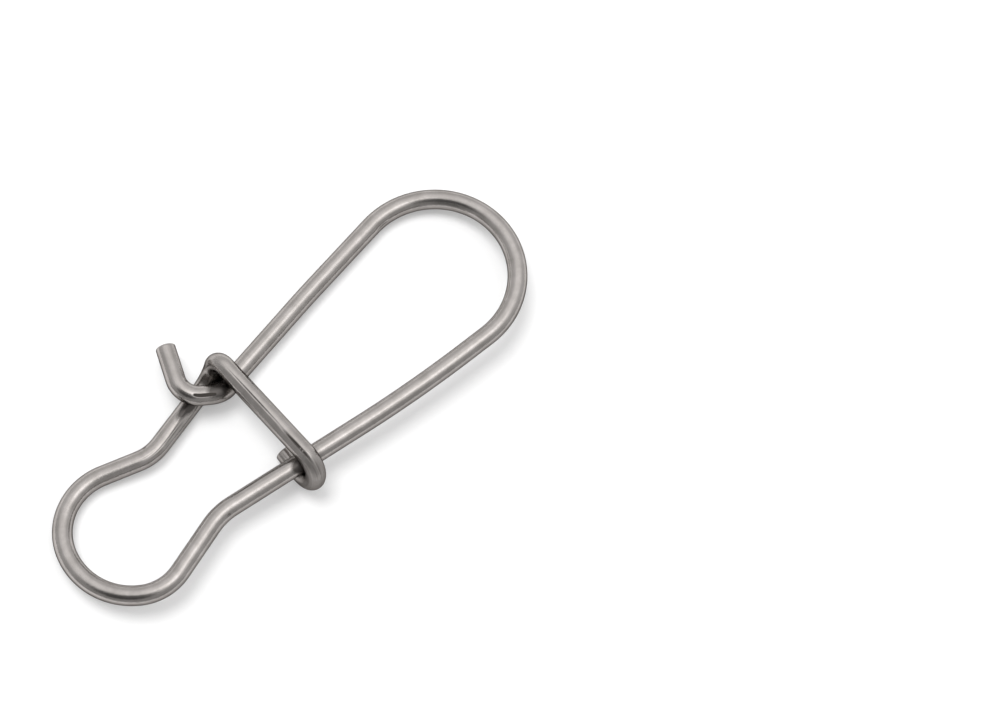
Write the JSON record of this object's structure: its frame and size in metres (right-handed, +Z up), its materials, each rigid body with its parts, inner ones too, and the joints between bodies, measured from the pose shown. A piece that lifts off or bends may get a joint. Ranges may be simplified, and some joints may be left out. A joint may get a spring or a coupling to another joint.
{
  "type": "duo-lock snap",
  "caption": "Wire snap clip bent from spring wire, with a large and a small loop and hooked ends that lock round the wire between the loops.",
  "frame": {"origin": "middle of the overall box in plan, on the surface that the snap lies on", "axes": "+X from the small loop towards the large loop, +Z up from the surface, +Y towards the side on which the free stub of the front leg's hook points out and on which both loops touch the surface"},
  "size_m": [0.0284, 0.0108, 0.0033],
  "materials": {
    "spring_wire": "satin drawn stainless spring wire with fine lines along it and tool marks at the bends"
  },
  "bodies": {
    "root": {"snap_wire": "spring_wire"}
  },
  "joints": []
}
